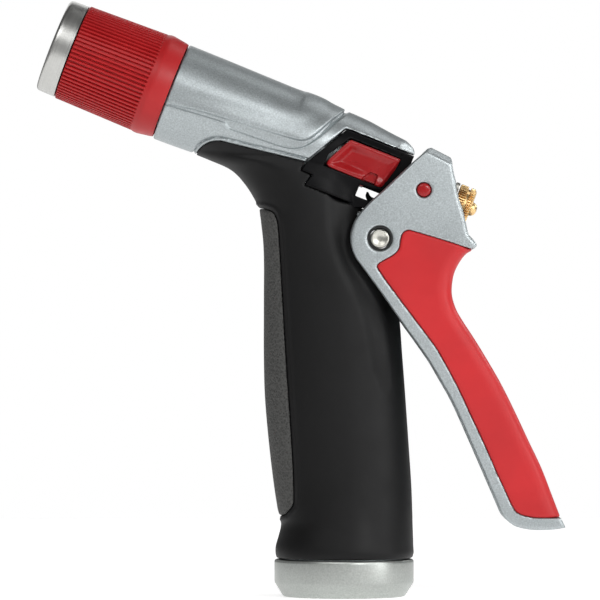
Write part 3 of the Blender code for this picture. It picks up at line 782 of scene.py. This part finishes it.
def lock_field(x, y, z):
    """The slide: dished plates on both sides, a bridge between them, and the tooth that holds the lever."""
    s, p = to_barrel(x, z)
    side = np.abs(y)
    edge = LOCK(s, p)
    dish = (1.6 - 1.25 * ease(s, 89, 98)) * ease(-edge, 0.8, 3.0)
    dish = np.maximum(dish, 1.45 * (1 - ease(LOCK_TAB(s, p), -0.25, 0.1)))
    rear = 0.957 * (s - 100.9) - 0.29 * (p + 3.9)
    skin = side - (np.interp(s, [85, 104], [12.25, 11.1]) - np.maximum(dish, 1.5 * np.maximum(rear, 0)))
    plates = smooth_max(smooth_max(skin, 9.6 - side, 0.3), edge, 0.7)
    bridge = smooth_max(brick(s, p, (93.6, 99.0), (4.1, 5.5)), side - 10.0, 0.4)
    tooth = np.maximum(brick(s, p, (94.9, 96.8), (-5.6, -2.7)), side - 8.7)
    web = np.maximum(brick(s, p, (94.9, 96.0), (-3.9, -2.7)), side - 10.6)
    return smooth_min(smooth_min(plates, bridge, 0.4), np.minimum(tooth, web), 0.3)


def make_lock():
    housing = fitted("lock_frame", "rear_housing", housing_field, 0.3)
    finish(housing, "body", "black_gloss", "rear_housing")
    lock = fitted("lock_button", "lock_slide", lock_field, 0.25, 1.2, 1.2)
    finish(lock, "lock", "red_plastic", "lock_slide")


# ---------------------------------------------------------------- lever

# Half widths of the lever's cheeks and of its cover, and of the cover's inner form.
CHEEK_IN, CHEEK_OUT = 13.1, 15.5
COVER_OUT, COVER_IN, COVER_SKIN = 15.42, 13.95, 1.55
# Holes in the cheeks, and their chamfered edges.
PIN_HOLE_R, PIN_EDGE_R = 3.55, 3.95
DOT_HOLE_R, DOT_EDGE_R = 2.15, 2.45
DIAGONAL = 0.707
LEVER_FRONT = smooth_line([
    (36.1, 127.2), (31.6, 123.2), (23.6, 115.6), (19.8, 112.2), (17.1, 109.3), (15.2, 106.5), (14.2, 103.4),
    (14.1, 101.2), (14.5, 98.9), (15.6, 96.2), (17.5, 93.6), (22.1, 87.3), (28.4, 78.3), (36.0, 67.6),
    (39.8, 61.2), (43.6, 54.3), (49.7, 40.6), (55.9, 26.3), (57.3, 23.2), (58.8, 21.6), (61.1, 20.1),
    (64.5, 19.3), (68.3, 19.1), (72.1, 19.3), (75.2, 19.8),
])
PAD_REAR = smooth_line([
    (73.7, 22.8), (71.1, 29.6), (68.3, 36.8), (64.5, 44.8), (60.7, 52.9), (56.9, 60.5), (53.1, 67.1),
    (49.3, 73.3), (45.9, 78.5), (44.1, 81.7), (43.0, 85.2), (42.9, 88.2), (43.5, 91.7), (44.9, 94.7),
    (46.8, 97.2), (48.8, 98.4),
])
LEVER_BACK = smooth_line([
    (49.9, 99.6), (49.6, 100.5), (48.7, 101.6), (47.5, 103.1), (46.8, 106.1), (46.0, 109.5), (45.0, 112.6),
    (44.3, 115.6), (44.0, 117.9), (43.5, 120.2), (42.8, 124.2),
])
LEVER_TOP = [(42.4, 124.7), (37.1, 127.4)]
PAD_TOP = smooth_line([
    (48.8, 98.5), (40.0, 101.3), (31.6, 103.8), (30.2, 103.9), (29.0, 103.2), (28.4, 101.6),
    (27.9, 98.9), (26.4, 97.1), (23.6, 95.5), (22.0, 94.4), (21.8, 93.4), (23.6, 90.5),
])
PAD_FRONT = smooth_line([
    (23.6, 90.5), (28.8, 83.5), (32.2, 79.0), (37.9, 71.4), (40.7, 66.7), (44.5, 59.6), (48.3, 51.5),
    (52.1, 43.4), (55.4, 35.8), (58.3, 29.6), (60.0, 25.9), (61.7, 23.9), (64.5, 23.0), (67.8, 22.6),
    (73.7, 22.7),
])
LEVER = Outline(LEVER_FRONT + PAD_REAR + LEVER_BACK + LEVER_TOP)
LEVER_PAD = Outline(PAD_TOP + PAD_FRONT[1:] + [(80, 22.4), (60, 60), (58, 95), (52, 98)])


def inward(points, distance):
    """The line moved to its left by its own normals."""
    points = np.array(points)
    along = np.gradient(points, axis=0)
    along /= np.hypot(*along.T)[:, None]
    return [tuple(p) for p in points + distance * np.stack([-along[:, 1], along[:, 0]], 1)]


LEVER_WALL = 3.6  # in front of the cover's rear face
LEVER_HOLLOW = Outline([
    (49.5, 101.5), (58, 108), (58, 120.3), barrel(117.2, 9.2), barrel(110.6, 9.3), (20, 130), (0, 110),
    (0, 60), (50, 0), (66.0, 10), (66.5, 26.0),
] + inward(PAD_REAR, LEVER_WALL)[10:-3] + [(46.0, 101.0)])


# The lever narrows by this share, from this height down over this length.
PINCH, PINCH_TOP, PINCH_LENGTH = 0.28, 86.0, 56.0
# The cheek is domed: it falls away beyond a slanting line through this point.
DOMING, DOMED_FROM, DOMED_ALONG = 0.0013, (20, 95), (0.45, 0.89)


def narrowing(height):
    """The lever's half width as a share of its full half width."""
    return 1 - PINCH * np.clip((PINCH_TOP - height) / PINCH_LENGTH, 0, 1)


def top_height(x, z):
    """Height over the lever's slanting top edge, along its outward normal."""
    (x0, z0), (x1, z1) = LEVER_TOP
    return ((x0 - x1) * (z - z0) - (z0 - z1) * (x - x0)) / math.hypot(x1 - x0, z1 - z0)


def cheek_height(x, z):
    """Distance of the cheek's face from the middle plane."""
    beyond = DOMED_ALONG[0] * (x - DOMED_FROM[0]) + DOMED_ALONG[1] * (z - DOMED_FROM[1])
    return CHEEK_OUT - DOMING * np.maximum(beyond, 0) ** 2


def pad_core(side, outline):
    """The rounded inner form under the lever's cover."""
    return smooth_max(side - COVER_IN, outline + COVER_SKIN, 3.2)


def lever_field(x, y, z):
    """The lever's casting: two domed cheeks round a hollow, with the room for its cover."""
    side = np.abs(y) / narrowing(z)
    outline = LEVER(x, z)
    pin = np.hypot(x - PIVOT[0], z - PIVOT[1])
    dot = np.hypot(x - DOT[0], z - DOT[1])
    domed = cheek_height(x, z)
    # Two bevels: all round the cheek's edge, and a wider one along its top.
    form = smooth_max(outline, side - domed, 0.9)
    form = smooth_max(form, 0.55 * (side - domed) + 0.83 * (outline + 0.35), 0.4)
    form = smooth_max(form, 0.62 * (side - domed) + 0.78 * (top_height(x, z) + 1.7), 0.2)
    form = smooth_max(form, -smooth_max(LEVER_HOLLOW(x, z), side - CHEEK_IN, 0.8), 0.4)
    room = smooth_max(LEVER_PAD(x, z) - 0.12, -pad_core(side, outline), 0.2)
    form = smooth_max(form, -room, 0.35)
    form = np.maximum(form, PIN_HOLE_R - pin)
    form = np.maximum(form, DIAGONAL * (PIN_EDGE_R - pin + side - domed))
    form = np.maximum(form, DOT_HOLE_R - dot)
    return np.maximum(form, DIAGONAL * (DOT_EDGE_R - dot + side - domed))


def lever_pad_field(x, y, z):
    side = np.abs(y) / narrowing(z)
    outline = LEVER(x, z)
    form = smooth_max(outline, side - COVER_OUT, 4.8)
    form = smooth_max(form, LEVER_PAD(x, z), 0.7)
    return smooth_max(form, -(pad_core(side, outline) - 0.1), 0.2)


HOOK_TOP = smooth_line([(98.4, -6.3), (99.0, -6.4), (99.8, -7.1), (101.2, -7.2), (104.6, -5.8)])
HOOK_FOOT = smooth_line([
    (106.5, -8.6), (104.0, -9.2), (101.0, -9.1), (99.6, -8.6), (98.6, -7.6), (98.4, -6.3),
])
HOOK = Outline(HOOK_TOP + HOOK_FOOT, 0.12)


def hook_field(x, y, z):
    """The hook's plate and the bar across the lever that carries it."""
    s, p = to_barrel(x, z)
    bar = np.maximum(np.hypot(s - 106.2, p + 7.4) - 2.0, np.abs(y) - 12.8)
    return smooth_min(bar, smooth_max(HOOK(s, p), np.abs(y) - 4.0, 0.5), 0.8)


def yoke_field(x, y, z):
    """The cross piece: a block slotted for the stem, arms into the cheeks and the dots at their ends."""
    s, p = to_barrel(x, z)
    side = np.abs(y)
    dot = np.hypot(x - DOT[0], z - DOT[1])
    block = smooth_max(slab(s, 110.2, 120.8), slab(p, -5.2, 5.0), 0.8)
    block = smooth_max(block, side - 6.8, 0.8)
    arms = np.maximum(dot - 2.9, side - 12.7)
    ends = smooth_max(dot - 1.95, side + 0.07 * dot**2 - cheek_height(*DOT) - 0.2, 0.5)
    form = np.minimum(smooth_min(block, arms, 1.0), ends)
    slot = np.maximum(side - 2.4, -2.4 - p)
    return smooth_max(form, -slot, 0.4)


BUSH_R = 3.5
BUSH_SUNK = 0.25  # how far the bush's face lies under the CAD bush's


def make_lever():
    lever = fitted("lever_frame", "lever", lever_field, 0.42)
    finish(lever, "lever", "zinc_paint", "lever")
    pad = fitted("lever_cover", "lever_pad", lever_pad_field, 0.45, 1.0, 1.2)
    finish(pad, "lever", "red_pad", "lever_pad")
    hook = fitted("lock_hook", "latch_hook", hook_field, 0.3)
    finish(hook, "lever", "black_plastic", "latch_hook")
    yoke = fitted("yoke_block", "stem_yoke", yoke_field, 0.3)
    finish(yoke, "yoke", "red_plastic", "stem_yoke")
    for name in ("pin_bush_left", "pin_bush_right"):
        low, high = box_mm(name)
        side = 1 if high[1] > 0 else -1
        near, far = sorted((side * low[1], side * high[1]))
        face = far - BUSH_SUNK
        profile = [(BUSH_R, face), (BUSH_R, near), (PIN_BORE, near), (PIN_BORE, face)]
        turn = Matrix.Rotation(-side * math.pi / 2, 4, "X")
        place = Matrix.Translation((PIVOT[0], 0, PIVOT[1])) @ turn
        bush = turned(name + "_ring", profile, place, 64, 0.15)
        finish(bush, "lever", "black_plastic", name)
    half = [(0, 15.1), (0.9, 15.15), (1.7, 15.4), (2.2, 15.6), (2.6, 15.3), (2.75, 14.9), (2.6, 14.3)]
    profile = half + [(radius, -height) for radius, height in half[::-1]]
    pin = turned("lever_pin", profile, crosswise(*PIVOT), 64, 0.2)
    finish(pin, "body", "pin_steel", "pivot_pin")


# ---------------------------------------------------------------- turned pieces

FLUTES = 72
FLUTE_DEPTH = 0.75
FLUTED_FROM_R = 13


def ridges(count, turn):
    """A wave with this many crests round a turned piece."""
    return 0.5 - 0.5 * np.cos(turn * count)


def flute_relief(radius, height, turn):
    """Straight flutes along the head's grip, which end before its smooth rear band."""
    groove = ease(ridges(FLUTES, turn), 0.35, 0.85)
    along = ease(height, 5.6, 6.0) * (1 - ease(height, 28.7, 29.4))
    return -FLUTE_DEPTH * groove * along * (radius > FLUTED_FROM_R)


def make_head():
    # The fluted run tapers, and has close rows where its flutes begin and end.
    fluted = (29.4, 29.2, 29.0, 28.8, 28.6, 24, 18, 12, 7.1, 6.8, 6.6, 6.4, 6.2)
    outer = [(14.0, 35.9), (14.2, 35.2), (14.75, 31.6), (14.8, 31.0), (14.75, 30.3), (14.55, 29.6)]
    outer += [(14.0 + 0.55 * (height - 6.4) / 23, height) for height in fluted]
    outer += [(13.75, 5.95), (12.7, 5.95), (12.7, 35.9)]
    grip = turned("head_grip_fluted", outer, BARREL_AXIS, FLUTES * 10, 0, flute_relief, sharp=60)
    finish(grip, "head", "red_grip", "head_grip")
    bezel = turned("mouth_bezel", smooth_line([
        (13.72, 5.6), (13.68, 3.2), (13.62, 1.3), (13.4, 0.5), (12.8, 0.06), (11.7, 0.15), (11.05, 0.7),
        (10.9, 1.8),
    ], 3) + [(10.9, 5.6)], BARREL_AXIS, 160, 0)
    finish(bezel, "head", "brushed_steel", "bezel_ring")
    hub = turned("head_hub_core", [
        (12.3, 35.6), (12.3, 6.0), (10.6, 5.6), (10.6, 1.6), (9.9, 1.6), (8.9, 8.0), (8.9, 21.7),
        (10.9, 21.7), (10.9, 28.6), (11.5, 28.6), (11.5, 30.4), (10.9, 30.4), (10.9, 35.6),
    ], BARREL_AXIS, 128)
    finish(hub, "head", "black_plastic", "head_hub")
    throat = turned("throat_orifice", [
        (8.6, 28.0), (8.6, 26.4), (7.2, 26.4), (7.2, 24.2), (8.6, 24.2), (8.6, 6.4), (8.0, 6.0), (5.4, 6.0),
        (4.2, 7.2), (4.2, 9.0), (6.4, 11.0), (6.4, 28.0),
    ], BARREL_AXIS, 96)
    finish(throat, "throat", "black_plastic", "throat_sleeve")
    cone = turned("spray_cone_tip", [
        (0, 10.5), (1.7, 10.5), (3.5, 5.6), (3.4, 5.0), (2.6, 4.6), (0, 4.4),
    ], BARREL_AXIS, 64, 0.2)
    finish(cone, "stem", "brass", "spray_cone")


STEM_R = 2.0
STEM_HOLE_R = STEM_R + 0.3
KNURLS = 44
KNURL_DEPTH = 0.62
KNURLED_FROM_R = 5.2


def knurl(radius, height, turn):
    """Straight knurling on the adjusting nut's two bands."""
    return -KNURL_DEPTH * ease(ridges(KNURLS, turn), 0.3, 0.9) * (radius > KNURLED_FROM_R)


def make_stem():
    nut = turned("adjusting_nut_knurled", [
        (4.9, 127.7), (5.5, 127.2), (5.65, 127.1), (5.65, 126.0), (4.95, 125.9), (4.95, 125.2),
        (5.65, 125.1), (5.65, 123.0), (5.3, 122.8), (STEM_HOLE_R, 122.8), (STEM_HOLE_R, 127.7),
    ], BARREL_AXIS, KNURLS * 8, 0, knurl)
    finish(nut, "nut", "brass", "adjusting_nut")
    stem = turned("valve_stem_rod", [
        (0, 129.5), (0.8, 129.4), (1.4, 129.1), (1.8, 128.6), (STEM_R, 128.0),
        (STEM_R, 43.0), (1.5, 42.4), (1.5, 10.8), (0, 10.8),
    ], BARREL_AXIS, 64, 0.05)
    finish(stem, "stem", "brass", "valve_stem")
    washer = turned("thrust_washer_ring", [
        (5.7, 122.5), (5.7, 121.3), (STEM_HOLE_R, 121.3), (STEM_HOLE_R, 122.5),
    ], BARREL_AXIS, 96)
    finish(washer, "stem", "pin_steel", "thrust_washer")


THREAD_R, THREAD_LOW, THREAD_TOP = 13.5, 0.9, 8.4
THREAD_PITCH, THREAD_DEPTH, THREAD_ROWS = 2.209, 0.62, 40


def hose_thread(radius, height, turn):
    """The collar's inner thread, faded out at both ends."""
    wave = np.abs(((height / THREAD_PITCH - turn / (2 * math.pi)) % 1) - 0.5) * 2
    along = ease(height, THREAD_LOW, THREAD_LOW + 1) * (1 - ease(height, THREAD_TOP - 1, THREAD_TOP))
    return -THREAD_DEPTH * (1 - ease(wave, 0.35, 0.85)) * along * (np.abs(radius - THREAD_R) < 0.01)


def make_collar():
    top = COLLAR_HIGH[2]
    span = THREAD_TOP - THREAD_LOW
    inside = [(THREAD_R, THREAD_LOW + span * i / THREAD_ROWS) for i in range(THREAD_ROWS + 1)]
    collar = turned("hose_collar_ring", [
        (18.9, top), (19.55, top - 0.12), (COLLAR_R - 0.03, top - 0.5), (COLLAR_R, top - 0.9),
        (COLLAR_R, 4.3), (COLLAR_R - 0.08, 3.9), (19.45, 3.4), (17.5, 0.25), (17.1, 0), (13.95, 0),
        (THREAD_R, 0.6),
    ] + inside + [(THREAD_R, 8.7), (17.5, 8.7), (17.5, top)], UPRIGHT, 192, 0, hose_thread)
    finish(collar, "body", "collar_metal", "hose_collar")


def make_spring():
    """The return spring's coil about the barrel's axis, at one length."""
    low, high, turns, radius, wire_r = 51.6, 78.2, 7, 6.0, 0.65
    count = turns * 36
    points = []
    for i in range(count + 1):
        turn = 2 * math.pi * turns * i / count
        height = low + (high - low) * i / count
        points.append(tuple(BARREL_AXIS @ Vector((radius * math.cos(turn), radius * math.sin(turn), height))))
    spring = finish(wire("return_spring_coil", points, wire_r), "body", "pin_steel", "return_spring")
    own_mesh(spring)


def dress_cad_nodes():
    """The inner nodes keep their CAD shape and take the finished materials."""
    slots = {entry["node"]: entry["material_slot"] for entry in frame["record"]["subparts"]}
    for name, obj in NODES.items():
        obj.data.materials.clear()
        obj.data.materials.append(LOOKS[slots[name]])


# ---------------------------------------------------------------- studio

# The studio is in metres.
FLOOR_GLOW = 0.6
BACKDROP = 1.0
SKY_LEVELS, SKY_AT = (0.26, 0.09), (0.5, 0.85)  # at the horizon and high up
FLOOR_HALF = 0.6
FLOOR_DROP = 0.0001
AIM = (0, 0, 0.09)
CAMERA_PLACE = (-0.0001, -1.7, 0.0843)
CAMERA_LENS, CAMERA_SENSOR = 358, 36
# Name, place, size and power in watts of each soft light.
LIGHTS = [
    ("key", (-0.25, -0.75, 0.75), (0.6, 0.4), 2.6),
    ("right", (0.8, -0.45, 0.3), (0.35, 0.7), 3.2),
    ("side", (0.42, -0.85, 0.45), (0.2, 0.2), 3.0),
    ("top", (0.4, 0.22, 0.85), (0.25, 0.25), 0.55),
    ("rim", (0.85, 0.5, 0.55), (0.3, 0.3), 2.2),
    ("behind", (-0.2, 0.85, 0.6), (0.7, 0.5), 1.3),
]


def make_floor():
    mesh = bpy.data.meshes.new("floor")
    corners = [(x * FLOOR_HALF, y * FLOOR_HALF, 0) for x, y in ((-1, -1), (1, -1), (1, 1), (-1, 1))]
    mesh.from_pydata(corners, [], [(0, 1, 2, 3)])
    floor = add_object("floor", mesh)
    floor.location.z = -FLOOR_DROP
    look = Shader("floor_paper", (0.9, 0.9, 0.9), 0.9)
    look.tint(look.noise(3.0), [(0.89, 0.89, 0.89), (0.91, 0.91, 0.91)])
    look.main.inputs["Emission Color"].default_value = (1, 1, 1, 1)
    look.main.inputs["Emission Strength"].default_value = FLOOR_GLOW
    floor.data.materials.append(look.material)


def make_world():
    """A dim sky that lights and is reflected, and a plain white backdrop that only the camera sees."""
    world = bpy.data.worlds.new("studio")
    world.use_nodes = True
    tree = world.node_tree
    sky = tree.nodes["Background"]
    sky.inputs["Strength"].default_value = 1.0
    place = tree.nodes.new("ShaderNodeTexCoord")
    parts = tree.nodes.new("ShaderNodeSeparateXYZ")
    ramp = tree.nodes.new("ShaderNodeValToRGB")
    height = tree.nodes.new("ShaderNodeMapRange")
    height.inputs["From Min"].default_value = -1.0
    tree.links.new(place.outputs["Generated"], parts.inputs["Vector"])
    tree.links.new(parts.outputs["Z"], height.inputs["Value"])
    tree.links.new(height.outputs["Result"], ramp.inputs["Fac"])
    for element, position, level in zip(ramp.color_ramp.elements, SKY_AT, SKY_LEVELS):
        element.position = position
        element.color = (level, level, level, 1)
    backdrop = tree.nodes.new("ShaderNodeBackground")
    backdrop.inputs["Color"].default_value = (1, 1, 1, 1)
    backdrop.inputs["Strength"].default_value = BACKDROP
    rays = tree.nodes.new("ShaderNodeLightPath")
    mix = tree.nodes.new("ShaderNodeMixShader")
    tree.links.new(ramp.outputs["Color"], sky.inputs["Color"])
    tree.links.new(rays.outputs["Is Camera Ray"], mix.inputs["Fac"])
    tree.links.new(sky.outputs["Background"], mix.inputs[1])
    tree.links.new(backdrop.outputs["Background"], mix.inputs[2])
    tree.links.new(mix.outputs["Shader"], tree.nodes["World Output"].inputs["Surface"])
    bpy.context.scene.world = world
    bpy.context.scene.view_settings.view_transform = "Standard"


def make_lights():
    for name, place, size, power in LIGHTS:
        light = bpy.data.lights.new(name, "AREA")
        light.shape = "RECTANGLE"
        light.size, light.size_y = size
        light.energy = power
        made = add_object(name, light)
        made.location = place
        made.rotation_euler = (Vector(AIM) - Vector(place)).to_track_quat("-Z", "Y").to_euler()


def make_camera():
    camera = bpy.data.cameras.new("camera")
    camera.lens = CAMERA_LENS
    camera.sensor_width = CAMERA_SENSOR
    camera.clip_end = 20
    made = add_object("camera", camera)
    made.location = CAMERA_PLACE
    made.rotation_euler = (math.pi / 2, 0, 0)
    bpy.context.scene.camera = made


make_floor()
make_world()
make_lights()
make_camera()
dress_cad_nodes()
make_casting()
make_grip()
make_lock()
make_lever()
make_head()
make_stem()
make_collar()
make_spring()
